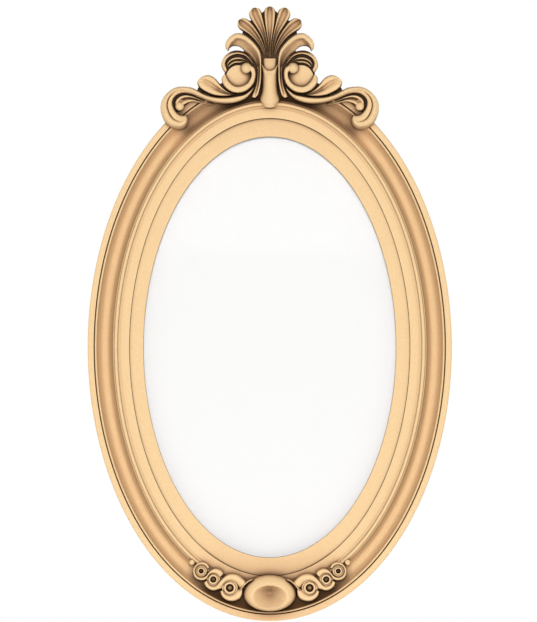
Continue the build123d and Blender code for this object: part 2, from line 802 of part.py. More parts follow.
def screw(x, z, seat):
    """Round-headed screw whose head sits a little behind the back plane."""
    shank = pin(x, z, screw_radius, -seat, screw_length)
    head = pin(x, z, screw_head_radius, -seat - screw_head_height, -seat)
    head = fillet(head.edges().group_by(Axis.Y)[-1], head_round_share * screw_head_height)
    return shank + head


def turn_button(x, z):
    """Flat button that points at the oval's centre and turns about its screw."""
    bar = Pos(0.5 * (button_reach - button_tail), 0)
    blank = bar * RectangleRounded(button_reach + button_tail, button_width, button_end_radius)
    blank -= Circle(screw_radius + button_bore_gap)
    plate = slab(blank, -button_gap - button_thickness, -button_gap)
    inward = degrees(atan2(-z, -x))
    return Pos(x, 0, z) * (Rot(0, -inward, 0) * plate)


def buttons():
    seat = button_thickness + 2 * button_gap
    for index, (x, z) in enumerate(button_spots()):
        nodes[f"turn_button_{index + 1}"] = turn_button(x, z)
    nodes["turn_button_screws"] = Compound([screw(x, z, seat) for x, z in button_spots()])


def knuckle_axis():
    """Distance of the ring's bar behind the back plane."""
    return wire_radius + wire_gap + strap_thickness + knuckle_gap


def hanger():
    bore = wire_radius + wire_gap
    back = knuckle_axis()
    axle = Plane(origin=(0, back, knuckle_height), z_dir=(1, 0, 0))
    blank = Pos(0, knuckle_height - 0.5 * strap_length) * Rectangle(strap_width, strap_length)
    plate = slab(blank, -strap_thickness, 0.0)
    plate = fillet(plate.edges().filter_by(Axis.Y).group_by(Axis.Z)[0], strap_corner)
    barrel_radius = bore + strap_thickness
    neck = Pos(0, knuckle_height) * Rectangle(knuckle_length, 2 * barrel_radius)
    strap = plate + axle * Cylinder(barrel_radius, knuckle_length) + slab(neck, -back, 0.0)
    strap -= axle * Cylinder(bore, 2 * strap_width)
    for x, z in strap_screw_spots():
        strap -= pin(x, z, screw_radius + screw_gap, -strap_thickness - cut_margin, cut_margin)
    nodes["hanger_strap"] = strap
    nodes["hanger_screws"] = Compound([screw(x, z, strap_thickness) for x, z in strap_screw_spots()])
    nodes["hanger_ring"] = d_ring(back)


def d_ring(back):
    """Wire ring that hangs from its straight bar."""
    half, corner = ring_half_width, ring_corner
    low = ring_half_width - ring_drop
    edges = [
        Line((corner - half, 0), (half - corner, 0)),
        RadiusArc((half - corner, 0), (half, -corner), corner),
        Line((half, -corner), (half, low)),
        ThreePointArc((half, low), (0, -ring_drop), (-half, low)),
        Line((-half, low), (-half, -corner)),
        RadiusArc((-half, -corner), (corner - half, 0), corner),
    ]
    path = Pos(0, back, knuckle_height) * (Plane.XZ * Wire(edges))
    start = Plane(origin=path @ 0, z_dir=path % 0)
    return sweep(start * Circle(wire_radius), path)


def pads():
    spots = [spot(turn, pad_inset) for turn in pad_turns]
    nodes["wall_pads"] = Compound([pin(x, z, pad_radius, -pad_thickness, 0.0) for x, z in spots])


ring_and_joinery()
glazing()
crest()
cartouche()
buttons()
hanger()
pads()

# Zero is the middle of the hanging ring's eye
eye = Pos(0, -knuckle_axis(), -(knuckle_height - 0.5 * ring_drop))
os.makedirs("parts", exist_ok=True)
for name, shape in nodes.items():
    export_step(eye * shape, f"parts/{name}.step")
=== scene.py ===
import json
from math import cos, pi, radians, sin
import bpy
import numpy as np
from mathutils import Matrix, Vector

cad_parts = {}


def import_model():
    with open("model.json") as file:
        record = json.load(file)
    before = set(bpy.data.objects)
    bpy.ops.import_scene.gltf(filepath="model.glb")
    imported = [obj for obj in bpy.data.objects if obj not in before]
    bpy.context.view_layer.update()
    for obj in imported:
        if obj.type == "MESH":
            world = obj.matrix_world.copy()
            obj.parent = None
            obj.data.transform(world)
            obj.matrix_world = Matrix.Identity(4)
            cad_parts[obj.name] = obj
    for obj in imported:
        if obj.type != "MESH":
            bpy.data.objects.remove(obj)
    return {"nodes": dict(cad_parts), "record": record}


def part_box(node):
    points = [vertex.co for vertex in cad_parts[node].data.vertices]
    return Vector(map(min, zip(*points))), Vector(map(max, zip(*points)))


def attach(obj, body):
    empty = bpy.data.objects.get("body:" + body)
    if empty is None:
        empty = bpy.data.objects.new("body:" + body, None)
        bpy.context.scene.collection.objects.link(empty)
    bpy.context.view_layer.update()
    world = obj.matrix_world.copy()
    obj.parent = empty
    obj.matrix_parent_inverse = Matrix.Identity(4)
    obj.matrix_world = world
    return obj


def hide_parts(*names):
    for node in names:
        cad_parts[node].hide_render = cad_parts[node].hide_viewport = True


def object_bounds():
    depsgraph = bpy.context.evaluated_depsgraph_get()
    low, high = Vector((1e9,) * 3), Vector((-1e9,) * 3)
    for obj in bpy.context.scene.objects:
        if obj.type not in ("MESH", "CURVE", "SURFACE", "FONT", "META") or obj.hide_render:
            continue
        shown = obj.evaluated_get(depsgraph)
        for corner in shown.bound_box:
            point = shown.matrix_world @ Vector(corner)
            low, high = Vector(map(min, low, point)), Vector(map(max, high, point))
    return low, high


# Oval picture frame: carved looks around the constructed frame.
# Shapes are drawn in millimetres: x from the oval's middle line, z from the ring's top or
# bottom edge, and height forward of the wood's back plane.

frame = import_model()
cad_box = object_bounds()

MM = 0.001
glass_low, glass_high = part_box("glass")
ring_low, ring_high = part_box("ring_bottom")
OVAL_X = 0.5 * (glass_low[0] + glass_high[0])
OVAL_Z = 0.5 * (glass_low[2] + glass_high[2])
BACK_Y = ring_high[1]
RING_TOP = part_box("ring_top")[1][2]
RING_BOTTOM = ring_low[2]

# Heights of the carvings' undersides, on the ring and on the crest's ground
FOOT = 12.0
CREST_FOOT = 16.4

# Fineness of the carvings' meshes
BAND_STEPS = 7
BAND_COLUMNS = 27
EDGE_CROWDING = 0.65
DOME_RINGS = 12
DOME_TURN = 1.5
SHARP_ANGLE = radians(48)

# Name and mirroring of each piece that occurs on both sides
SIDES = (("left_", False), ("right_", True))
# Shares across a carving at which its heights are given, where seven are enough
SEVEN = (0.0, 0.12, 0.3, 0.5, 0.7, 0.88, 1.0)


def place(x, z, height, datum):
    """Point in the shared frame; z is measured from the ring's top or bottom edge, the datum."""
    return OVAL_X + x * MM, BACK_Y - height * MM, datum + z * MM


def span_weights(t):
    """Weights of a smooth span's start, end, start tangent and end tangent."""
    return 2 * t**3 - 3 * t**2 + 1, 3 * t**2 - 2 * t**3, t**3 - 2 * t**2 + t, t**3 - t**2


def smooth_path(points, steps):
    """Evenly stepped curve through the points, with tangents from their neighbours."""
    points = np.array(points, dtype=float)
    before = np.vstack([2 * points[0] - points[1], points[:-1]])
    after = np.vstack([points[1:], 2 * points[-1] - points[-2]])
    tangents = 0.5 * (after - before)
    path = []
    for index in range(len(points) - 1):
        for step in range(steps):
            a, b, c, d = span_weights(step / steps)
            start, end = points[index], points[index + 1]
            path.append(a * start + b * end + c * tangents[index] + d * tangents[index + 1])
    path.append(points[-1])
    return np.array(path)


def ease(knots, values, wanted):
    """Smooth heights through knots, never above or below them."""
    knots, values = np.array(knots, dtype=float), np.array(values, dtype=float)
    steps = np.diff(values) / np.diff(knots)
    before, after = steps[:-1], steps[1:]
    turning = before * after <= 0
    inner = 2 * before * after / np.where(turning, 1.0, before + after)
    slopes = np.concatenate([steps[:1], np.where(turning, 0.0, inner), steps[-1:]])
    index = np.clip(np.searchsorted(knots, wanted, side="right") - 1, 0, len(knots) - 2)
    span = knots[index + 1] - knots[index]
    a, b, c, d = span_weights((wanted - knots[index]) / span)
    bend = span * (c * slopes[index] + d * slopes[index + 1])
    return a * values[index] + b * values[index + 1] + bend


def across(count):
    """Shares across a carving, closer together near its edges."""
    even = np.linspace(0.0, 1.0, count)
    return (1 - EDGE_CROWDING) * even + EDGE_CROWDING * 0.5 * (1 - np.cos(pi * even))


def relief(knots, rows, along, shares):
    """Height grid: each row is (share along, heights at the knots)."""
    stations = [share for share, _ in rows]
    levels = np.array([ease(knots, heights, shares) for _, heights in rows])
    return np.array([[np.interp(s, stations, levels[:, k]) for k in range(len(shares))] for s in along])


class Shape:
    """Vertices and faces of one carved piece."""

    def __init__(self, datum):
        self.datum = datum
        self.points = []
        self.faces = []

    def grid(self, xs, zs, heights, foot):
        """Closed block under a grid of heights."""
        rows, columns = heights.shape
        base = len(self.points)
        for top in (True, False):
            for i in range(rows):
                for k in range(columns):
                    height = heights[i, k] if top else foot
                    self.points.append(place(xs[i, k], zs[i, k], height, self.datum))
        lower = rows * columns
        for i in range(rows - 1):
            for k in range(columns - 1):
                a = base + i * columns + k
                b, c, d = a + 1, a + columns + 1, a + columns
                self.faces.append((a, b, c, d))
                self.faces.append((d + lower, c + lower, b + lower, a + lower))
        rim = [(0, k) for k in range(columns)] + [(i, columns - 1) for i in range(1, rows)]
        rim += [(rows - 1, k) for k in range(columns - 2, -1, -1)] + [(i, 0) for i in range(rows - 2, 0, -1)]
        for (i, k), (j, m) in zip(rim, rim[1:] + rim[:1]):
            a, b = base + i * columns + k, base + j * columns + m
            self.faces.append((b, a, a + lower, b + lower))

    def band(self, pairs, knots, rows, foot):
        """Carving between two edges, given as pairs of points."""
        first = smooth_path([pair[0] for pair in pairs], BAND_STEPS)
        second = smooth_path([pair[1] for pair in pairs], BAND_STEPS)
        shares = across(BAND_COLUMNS)
        xs = first[:, :1] + (second - first)[:, :1] * shares
        zs = first[:, 1:] + (second - first)[:, 1:] * shares
        along = np.linspace(0.0, 1.0, len(first))
        self.grid(xs, zs, relief(knots, rows, along, shares), foot)

    def turned(self, x, z, profile, foot, tall=1.0, sides=56):
        """Round or oval boss; its rings run inwards: radius, height and, if any, lift of the centre."""
        base = len(self.points)
        rings = [(*ring, 0.0)[:3] for ring in profile]
        rings.insert(0, (profile[0][0], foot, 0.0))
        for radius, height, lift in rings:
            for side in range(sides):
                turn = 2 * pi * side / sides
                point = (x + radius * cos(turn), z + lift + tall * radius * sin(turn))
                self.points.append(place(*point, height, self.datum))
        for ring in range(len(rings) - 1):
            for side in range(sides):
                a = base + ring * sides + side
                b = base + ring * sides + (side + 1) % sides
                self.faces.append((a, b, b + sides, a + sides))
        last = base + (len(rings) - 1) * sides
        self.faces.append(tuple(last + side for side in range(sides)))
        self.faces.append(tuple(base + side for side in reversed(range(sides))))

    def build(self, name, node, mirrored=False, finish=None):
        """Make the piece, and let it stand for a CAD node."""
        points, faces = self.points, self.faces
        if mirrored:
            points = [(2 * OVAL_X - x, y, z) for x, y, z in points]
            faces = [tuple(reversed(face)) for face in faces]
        mesh = bpy.data.meshes.new(name)
        mesh.from_pydata(points, [], faces)
        mesh.update()
        mesh.polygons.foreach_set("use_smooth", [True] * len(mesh.polygons))
        mesh.set_sharp_from_angle(angle=SHARP_ANGLE)
        piece = bpy.data.objects.new(name, mesh)
        bpy.context.scene.collection.objects.link(piece)
        piece.data.materials.append(finish or carved_wood)
        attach(piece, "frame")
        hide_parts(node)


# Crest edges, in pairs of points (x, z above the ring's top edge), left side
s_scroll_edges = (
    ((-15.2, -12.4), (-15.6, -14.0)),
    ((-18.6, -16.0), (-17.8, -19.0)),
    ((-25.0, -20.6), (-23.5, -25.0)),
    ((-32.0, -22.3), (-31.0, -28.6)),
    ((-40.0, -23.9), (-39.5, -30.3)),
    ((-49.0, -24.4), (-49.0, -30.2)),
    ((-57.0, -23.6), (-57.0, -29.0)),
    ((-65.0, -21.2), (-64.5, -26.7)),
    ((-71.5, -17.7), (-71.0, -24.2)),
    ((-78.0, -14.5), (-78.0, -21.3)),
    ((-85.0, -13.5), (-84.5, -20.1)),
    ((-93.0, -14.0), (-90.5, -21.0)),
    ((-100.0, -17.6), (-94.5, -23.6)),
    ((-105.5, -23.2), (-96.8, -27.0)),
    ((-108.8, -30.0), (-97.2, -30.6)),
    ((-109.2, -37.0), (-96.2, -34.4)),
    ((-107.2, -44.2), (-94.6, -37.6)),
    ((-103.2, -51.2), (-92.6, -40.0)),
    ((-98.0, -54.9), (-90.8, -41.4)),
    ((-92.0, -56.4), (-89.2, -42.1)),
    ((-86.8, -55.7), (-87.6, -42.4)),
    ((-83.0, -52.7), (-86.4, -42.4)),
    ((-81.2, -48.5), (-85.5, -42.2)),
    ((-81.8, -44.8), (-84.9, -42.0)),
)
hook_leaf_edges = (
    ((-57.0, -29.9), (-57.0, -32.0)),
    ((-63.5, -28.0), (-63.5, -31.2)),
    ((-70.5, -25.5), (-70.5, -29.6)),
    ((-77.5, -22.6), (-76.5, -28.6)),
    ((-83.5, -21.4), (-81.0, -29.4)),
    ((-88.5, -22.2), (-84.0, -30.8)),
    ((-92.4, -24.5), (-86.0, -32.0)),
    ((-94.8, -27.8), (-87.5, -32.6)),
    ((-95.2, -31.0), (-89.0, -33.0)),
)
c_scroll_edges = (
    ((-45.3, -1.2), (-44.7, -1.2)),
    ((-47.9, -4.8), (-43.3, -3.6)),
    ((-47.6, -9.4), (-41.6, -7.0)),
    ((-45.0, -13.8), (-39.2, -10.0)),
    ((-41.2, -17.2), (-36.4, -12.2)),
    ((-36.5, -19.4), (-33.8, -13.3)),
    ((-31.6, -20.0), (-31.0, -13.5)),
    ((-26.8, -19.2), (-27.8, -12.9)),
    ((-22.4, -17.0), (-24.6, -11.6)),
    ((-18.6, -13.8), (-21.8, -9.4)),
    ((-15.8, -9.8), (-19.8, -6.4)),
    ((-14.3, -4.6), (-18.7, -3.4)),
    ((-14.1, 0.6), (-18.6, -0.4)),
    ((-15.5, 5.2), (-19.6, 1.4)),
    ((-19.6, 7.8), (-21.8, 3.8)),
)
acanthus_edges = (
    ((-8.4, 5.0), (-12.6, 3.6)),
    ((-8.4, 11.0), (-13.2, 8.4)),
    ((-8.7, 17.0), (-15.2, 12.4)),
    ((-10.2, 22.6), (-17.8, 16.4)),
    ((-13.3, 27.4), (-21.3, 19.9)),
    ((-17.2, 31.9), (-25.0, 22.4)),
    ((-22.4, 36.3), (-27.4, 24.6)),
    ((-27.6, 39.2), (-29.4, 26.3)),
    ((-33.0, 39.9), (-32.4, 27.4)),
    ((-37.4, 38.2), (-35.2, 27.6)),
    ((-40.8, 35.4), (-37.6, 27.2)),
    ((-43.3, 32.0), (-39.4, 26.0)),
    ((-44.6, 28.2), (-40.5, 24.6)),
    ((-43.9, 25.2), (-41.0, 23.2)),
    ((-42.2, 23.0), (-41.3, 22.3)),
)
outer_curl_edges = (
    ((-15.2, 10.4), (-17.2, 9.4)),
    ((-16.9, 13.4), (-19.4, 12.2)),
    ((-20.0, 17.4), (-22.2, 15.4)),
    ((-23.6, 20.5), (-25.2, 17.4)),
    ((-27.6, 22.2), (-28.4, 18.5)),
    ((-31.8, 22.9), (-32.0, 19.0)),
    ((-36.5, 22.5), (-35.8, 18.4)),
    ((-40.2, 21.0), (-39.0, 17.0)),
    ((-43.6, 18.6), (-41.8, 14.9)),
    ((-46.3, 15.2), (-43.5, 12.4)),
    ((-48.0, 11.4), (-44.2, 9.8)),
    ((-48.4, 8.0), (-43.9, 7.3)),
    ((-47.4, 4.8), (-42.9, 5.0)),
    ((-45.8, 2.2), (-42.4, 3.4)),
    ((-44.4, 0.9), (-43.0, 2.0)),
)
inner_curl_edges = (
    ((-22.2, 11.9), (-23.2, 11.0)),
    ((-25.6, 14.4), (-26.2, 10.8)),
    ((-30.0, 16.2), (-29.4, 9.3)),
    ((-34.2, 16.2), (-33.2, 9.3)),
    ((-38.4, 14.8), (-36.4, 8.4)),
    ((-41.2, 12.7), (-38.6, 6.9)),
    ((-42.7, 9.9), (-40.0, 5.8)),
    ((-42.7, 6.8), (-41.4, 6.2)),
)
side_leaf_edges = (
    ((-35.2, -20.9), (-35.6, -21.7)),
    ((-40.0, -19.2), (-41.0, -23.0)),
    ((-44.6, -16.0), (-47.0, -23.5)),
    ((-48.2, -12.6), (-52.5, -23.2)),
    ((-51.4, -8.8), (-58.0, -22.2)),
    ((-54.6, -5.2), (-63.0, -20.2)),
    ((-58.2, -2.9), (-67.0, -18.0)),
    ((-61.9, -2.0), (-69.8, -15.6)),
    ((-65.6, -2.6), (-71.4, -13.2)),
    ((-69.2, -4.6), (-72.3, -11.2)),
    ((-71.7, -7.2), (-72.5, -9.4)),
)
stem_edges = (
    ((-13.0, 6.6), (-8.3, 7.4)),
    ((-12.8, 2.6), (-8.4, 3.9)),
    ((-13.0, -1.5), (-8.4, -0.5)),
    ((-13.5, -6.5), (-8.6, -7.0)),
    ((-14.3, -12.0), (-9.4, -13.4)),
    ((-15.8, -17.0), (-10.7, -19.0)),
    ((-17.3, -20.8), (-12.1, -22.6)),
    ((-18.2, -23.6), (-13.9, -24.8)),
)
flute_one_edges = (
    ((-3.4, 17.4), (-1.8, 17.0)),
    ((-4.4, 24.6), (-2.3, 25.4)),
    ((-6.1, 32.0), (-2.9, 34.6)),
    ((-8.3, 37.4), (-4.0, 41.7)),
    ((-11.5, 42.7), (-5.3, 48.0)),
    ((-15.2, 48.0), (-6.6, 54.2)),
    ((-18.6, 53.2), (-7.5, 58.0)),
    ((-20.5, 57.4), (-8.8, 62.4)),
    ((-20.2, 61.2), (-11.0, 64.6)),
    ((-18.0, 64.2), (-13.6, 65.4)),
    ((-16.4, 65.0), (-15.2, 65.3)),
)
flute_two_edges = (
    ((-6.0, 18.0), (-4.2, 17.8)),
    ((-7.6, 22.0), (-5.1, 24.6)),
    ((-9.9, 26.3), (-6.6, 29.8)),
    ((-13.2, 30.3), (-8.7, 35.0)),
    ((-17.0, 34.6), (-11.4, 40.4)),
    ((-21.0, 38.0), (-14.9, 45.8)),
    ((-25.2, 40.7), (-18.5, 50.5)),
    ((-29.6, 43.6), (-22.3, 53.8)),
    ((-32.0, 47.0), (-25.9, 55.0)),
    ((-32.0, 51.0), (-28.6, 54.4)),
    ((-31.0, 53.0), (-30.0, 53.4)),
)

# Middle pieces of the crest: (half width, z above the ring's top edge)
centre_flute_widths = (
    (1.0, 15.6),
    (1.3, 26.0),
    (2.4, 36.0),
    (4.5, 46.0),
    (5.8, 56.0),
    (5.8, 61.0),
    (4.6, 64.4),
    (2.6, 66.0),
    (0.8, 66.5),
)
husk_widths = (
    (10.0, -34.6),
    (10.1, -27.5),
    (9.3, -24.0),
    (8.2, -19.5),
    (7.7, -13.0),
    (7.8, -4.0),
    (7.8, 0.5),
    (8.1, 4.8),
    (8.3, 10.0),
)

# Cartouche edges, in pairs of points (x, z above the ring's bottom edge), left side
large_wave_edges = (
    ((-23.6, 40.2), (-28.8, 32.6)),
    ((-28.0, 44.2), (-32.2, 37.0)),
    ((-32.5, 47.0), (-35.2, 39.6)),
    ((-38.0, 48.0), (-39.2, 40.2)),
    ((-43.0, 46.8), (-43.2, 39.0)),
    ((-47.5, 43.6), (-46.2, 36.2)),
    ((-51.5, 39.6), (-48.4, 33.2)),
    ((-53.6, 36.6), (-51.6, 31.8)),
    ((-56.4, 35.6), (-56.0, 30.7)),
    ((-59.4, 36.6), (-60.4, 31.8)),
    ((-61.2, 39.0), (-64.0, 34.6)),
    ((-61.6, 41.4), (-66.0, 38.4)),
)
wave_lobe_edges = (
    ((-49.6, 29.6), (-46.2, 31.6)),
    ((-48.6, 26.0), (-44.8, 28.9)),
    ((-46.0, 22.9), (-42.8, 27.3)),
    ((-42.0, 20.6), (-40.6, 26.7)),
    ((-37.7, 20.0), (-38.2, 26.9)),
    ((-33.4, 20.8), (-35.8, 28.0)),
    ((-29.6, 22.8), (-34.0, 29.6)),
    ((-27.4, 25.4), (-32.6, 31.0)),
    ((-26.9, 28.4), (-30.9, 31.8)),
    ((-27.0, 31.2), (-29.6, 33.0)),
)
small_wave_edges = (
    ((-46.0, 48.4), (-50.6, 43.6)),
    ((-48.4, 51.4), (-52.4, 45.9)),
    ((-53.0, 53.2), (-55.0, 47.4)),
    ((-57.5, 52.4), (-58.4, 47.2)),
    ((-61.2, 49.4), (-61.0, 45.0)),
    ((-63.4, 46.6), (-62.2, 43.0)),
    ((-65.8, 44.9), (-64.8, 41.2)),
    ((-69.0, 44.4), (-69.2, 41.0)),
    ((-72.0, 45.6), (-73.6, 42.6)),
    ((-73.9, 48.4), (-76.4, 46.4)),
    ((-74.0, 51.6), (-76.9, 51.6)),
    ((-72.4, 54.6), (-75.0, 55.8)),
    ((-69.6, 56.2), (-71.3, 58.8)),
    ((-66.4, 56.0), (-66.4, 59.6)),
    ((-63.8, 54.2), (-62.2, 57.6)),
    ((-63.0, 52.6), (-60.2, 54.0)),
)
ribbon_edges = (
    ((-17.2, 42.6), (-17.0, 41.2)),
    ((-21.6, 40.9), (-20.8, 39.5)),
    ((-25.4, 37.9), (-24.0, 36.7)),
    ((-28.0, 34.8), (-26.5, 33.9)),
    ((-30.2, 31.6), (-28.7, 30.9)),
)
# Eyes of the waves: (x, z, outer radius, inner radius)
wave_eye_rings = (
    (-39.9, 33.5, 6.0, 3.9),
    (-56.4, 42.0, 4.8, 3.0),
    (-68.5, 50.4, 3.9, 2.3),
)


# Noise between these levels is spread over a finish's whole range
NOISE_RANGE = (0.3, 0.7)
OPENNESS_SAMPLES = 8
FRONT = (0, -1, 0)
BUMP_DEPTH = 0.0004
BUMP_FINENESS = 3.0

# Colours of the wood, and of the brown painted shade laid over it, from the lightest shade to the darkest in
# the deepest creases
WOOD = ((0.95, 0.675, 0.37, 1), (0.89, 0.62, 0.33, 1))
AMBER_SHADE = (0.80, 0.49, 0.26, 1)
WALL_SHADE = (0.22, 0.115, 0.05, 1)
HALO_SHADE = (0.15, 0.072, 0.030, 1)
CREASE_SHADE = (0.035, 0.018, 0.007, 1)
GRAIN = 620.0

# Openness over which each colour of painted shade clears
AMBER_SHADE_CLEARS = (0.6, 1.0)
HALO_SHADE_CLEARS = (0.0, 0.75)
WALL_SHADE_CLEARS = (0.82, 1.0)

# Thinning of the painted halo shade at the oval's sides: strength left there, and how far up or down it is
# whole
THIN = (0.25, 0.76, 0.92)
THIN_LOW = (0.15, 0.86, 0.95)


def node_tree(name):
    """New material, its nodes and its shader."""
    material = bpy.data.materials.new(name)
    material.use_nodes = True
    tree = material.node_tree
    return material, tree, tree.nodes["Principled BSDF"]


def spread(tree, value, source, target=(0.0, 1.0), kind="LINEAR"):
    """Value carried from one range to another."""
    node = tree.nodes.new("ShaderNodeMapRange")
    node.interpolation_type = kind
    node.inputs["From Min"].default_value, node.inputs["From Max"].default_value = source
    node.inputs["To Min"].default_value, node.inputs["To Max"].default_value = target
    tree.links.new(value, node.inputs["Value"])
    return node.outputs["Result"]


def arithmetic(tree, operation, *values):
    """Outcome of one operation on the values."""
    node = tree.nodes.new("ShaderNodeMath")
    node.operation = operation
    for value, socket in zip(values, node.inputs):
        tree.links.new(value, socket)
    return node.outputs[0]


def speckle(tree, scale, detail):
    """Noise in the object's own space, from 0 to 1."""
    where = tree.nodes.new("ShaderNodeTexCoord")
    noise = tree.nodes.new("ShaderNodeTexNoise")
    noise.inputs["Scale"].default_value = scale
    noise.inputs["Detail"].default_value = detail
    tree.links.new(where.outputs["Object"], noise.inputs["Vector"])
    return spread(tree, noise.outputs["Fac"], NOISE_RANGE)


def openness(tree, reach, dark_at, clear_at, kind="SMOOTHSTEP"):
    """How open a point lies: from 0 in a hollow to 1 on open ground."""
    hollow = tree.nodes.new("ShaderNodeAmbientOcclusion")
    hollow.inputs["Distance"].default_value = reach
    hollow.samples = OPENNESS_SAMPLES
    return spread(tree, hollow.outputs["AO"], (dark_at, clear_at), kind=kind)


def facing(tree, steep, flat):
    """How squarely a surface faces the front: 0 on a steep wall, 1 on a flat."""
    where = tree.nodes.new("ShaderNodeNewGeometry")
    squareness = tree.nodes.new("ShaderNodeVectorMath")
    squareness.operation = "DOT_PRODUCT"
    squareness.inputs[1].default_value = FRONT
    tree.links.new(where.outputs["Normal"], squareness.inputs[0])
    return spread(tree, squareness.outputs["Value"], (steep, flat))


def thin_shade_at_sides(tree, value, low, start, end):
    """Value eased towards 1 at the oval's two sides, where the painted shade is thin."""
    where = tree.nodes.new("ShaderNodeNewGeometry")
    spot = where.outputs["Position"]
    reach_x, reach_z = 0.5 * (cad_box[1][0] - cad_box[0][0]), OVAL_Z - RING_BOTTOM
    for operation, amount in (
        ("SUBTRACT", (OVAL_X, 0, OVAL_Z)),
        ("MULTIPLY", (1 / reach_x, 0, 1 / reach_z)),
        ("NORMALIZE", None),
    ):
        step = tree.nodes.new("ShaderNodeVectorMath")
        step.operation = operation
        tree.links.new(spot, step.inputs[0])
        if amount:
            step.inputs[1].default_value = amount
        spot = step.outputs["Vector"]
    split = tree.nodes.new("ShaderNodeSeparateXYZ")
    tree.links.new(spot, split.inputs["Vector"])
    away = arithmetic(tree, "ABSOLUTE", split.outputs["Z"])
    strength = spread(tree, away, (start, end), (low, 1.0), "SMOOTHSTEP")
    mix = tree.nodes.new("ShaderNodeMix")
    mix.inputs["A"].default_value = 1.0
    tree.links.new(strength, mix.inputs["Factor"])
    tree.links.new(value, mix.inputs["B"])
    return mix.outputs["Result"]


def mixed(tree, factor, first, second):
    """Blend of two colours or sockets."""
    mix = tree.nodes.new("ShaderNodeMix")
    mix.data_type = "RGBA"
    for socket, value in (("Factor_Float", factor), ("A_Color", first), ("B_Color", second)):
        target = next(item for item in mix.inputs if item.identifier == socket)
        if isinstance(value, bpy.types.NodeSocket):
            tree.links.new(value, target)
        else:
            target.default_value = value
    return next(item for item in mix.outputs if item.identifier == "Result_Color")


def roughened(tree, shader, scale, roughness, gloss, bump):
    """Sheen and fine bump of a finish."""
    shader.inputs["Roughness"].default_value = roughness
    shader.inputs["Specular IOR Level"].default_value = gloss
    surface = tree.nodes.new("ShaderNodeBump")
    surface.inputs["Strength"].default_value = bump
    surface.inputs["Distance"].default_value = BUMP_DEPTH
    tree.links.new(speckle(tree, BUMP_FINENESS * scale, 3.0), surface.inputs["Height"])
    tree.links.new(surface.outputs["Normal"], shader.inputs["Normal"])


def grained(name, light, dark, scale, roughness, bump):
    """Finish with mottled colour and a fine bump."""
    material, tree, shader = node_tree(name)
    colour = mixed(tree, speckle(tree, scale, 4.0), light, dark)
    tree.links.new(colour, shader.inputs["Base Color"])
    roughened(tree, shader, scale, roughness, gloss=0.3, bump=bump)
    return material


def painted_shade_wood(name, halo_shade, crease_shade, wall_shade, thin=None):
    """Waxed wood with brown painted shade: a painted shaded halo round the carving, dark painted creases and
    painted shade on the walls of hollows.

    A halo or crease shade is (reach, openness that is dark, openness that is clear). Wall shade is
    given by how squarely the walls face the front, where darkest and where clear.
    """
    material, tree, shader = node_tree(name)
    colour = mixed(tree, speckle(tree, GRAIN, 3.0), *WOOD)
    halo_openness, crease_openness = openness(tree, *halo_shade), openness(tree, *crease_shade)
    if thin:
        halo_openness = thin_shade_at_sides(tree, halo_openness, *thin)
    # Painted shade: brown on walls that turn away from the front, a painted halo round the carving, and dark
    # painted creases
    unshaded = arithmetic(tree, "MAXIMUM", facing(tree, *wall_shade), openness(tree, halo_shade[0], *WALL_SHADE_CLEARS))
    colour = mixed(tree, unshaded, WALL_SHADE, colour)
    colour = mixed(tree, spread(tree, halo_openness, AMBER_SHADE_CLEARS), AMBER_SHADE, colour)
    colour = mixed(tree, spread(tree, halo_openness, HALO_SHADE_CLEARS), HALO_SHADE, colour)
    colour = mixed(tree, crease_openness, CREASE_SHADE, colour)
    tree.links.new(colour, shader.inputs["Base Color"])
    roughened(tree, shader, GRAIN, roughness=0.6, gloss=0.1, bump=0.12)
    return material


def moulding(name, dark_at, thin):
    """Wood of the ring and slip; its painted halo shade clears evenly and is thin at the oval's sides."""
    halo_shade, crease_shade = (0.035, dark_at, 1.0, "LINEAR"), (0.008, 0.05, 0.97)
    return painted_shade_wood(name, halo_shade, crease_shade, wall_shade=(0.3, 0.95), thin=thin)


def metal(name, light, dark, roughness):
    """Smooth bare metal."""
    material = grained(name, light, dark, 900.0, roughness, bump=0.15)
    material.node_tree.nodes["Principled BSDF"].inputs["Metallic"].default_value = 1.0
    return material


def clear_glass():
    """Thin pane that hardly tints what lies behind it."""
    material, tree, shader = node_tree("clear_glass")
    tint = mixed(tree, speckle(tree, 6.0, 1.0), (1.0, 1.0, 0.99, 1), (0.97, 0.98, 0.97, 1))
    tree.links.new(tint, shader.inputs["Base Color"])
    shader.inputs["Roughness"].default_value = 0.03
    shader.inputs["Specular IOR Level"].default_value = 0.1
    shader.inputs["Alpha"].default_value = 0.05
    return material


# Copies of one wood with painted shade of different strength; the copy for the ring's bottom and slip, and
# the one for the cabochon's dish, carry heavier painted shade
carved_wood = painted_shade_wood("carved_wood", (0.030, 0.32, 0.90), (0.007, 0.20, 0.85), (0.05, 0.7))
moulding_wood = moulding("moulding_wood", 0.34, THIN)
moulding_wood_heavy_shade = moulding("moulding_wood_heavy_shade", 0.60, THIN_LOW)
dish_shade_wood = painted_shade_wood("dish_shade_wood", (0.030, 0.68, 0.99), (0.007, 0.20, 0.88), (0.45, 0.92))
ground_wood = painted_shade_wood("ground_wood", (0.030, 0.40, 1.0), (0.007, 0.3, 0.9), (0.3, 0.95))
dowel_wood = grained("dowel_wood", (0.72, 0.52, 0.30, 1), (0.64, 0.45, 0.25, 1), 300.0, 0.7, 0.2)
white_card = grained("white_card", (0.95, 0.95, 0.95, 1), (0.92, 0.92, 0.92, 1), 500.0, 0.9, 0.05)
brown_board = grained("brown_board", (0.20, 0.11, 0.055, 1), (0.15, 0.08, 0.04, 1), 350.0, 0.7, 0.3)
black_rubber = grained("black_rubber", (0.02, 0.02, 0.02, 1), (0.035, 0.035, 0.035, 1), 700.0, 0.8, 0.2)
zinc_steel = metal("zinc_steel", (0.62, 0.63, 0.64, 1), (0.52, 0.53, 0.55, 1), 0.35)
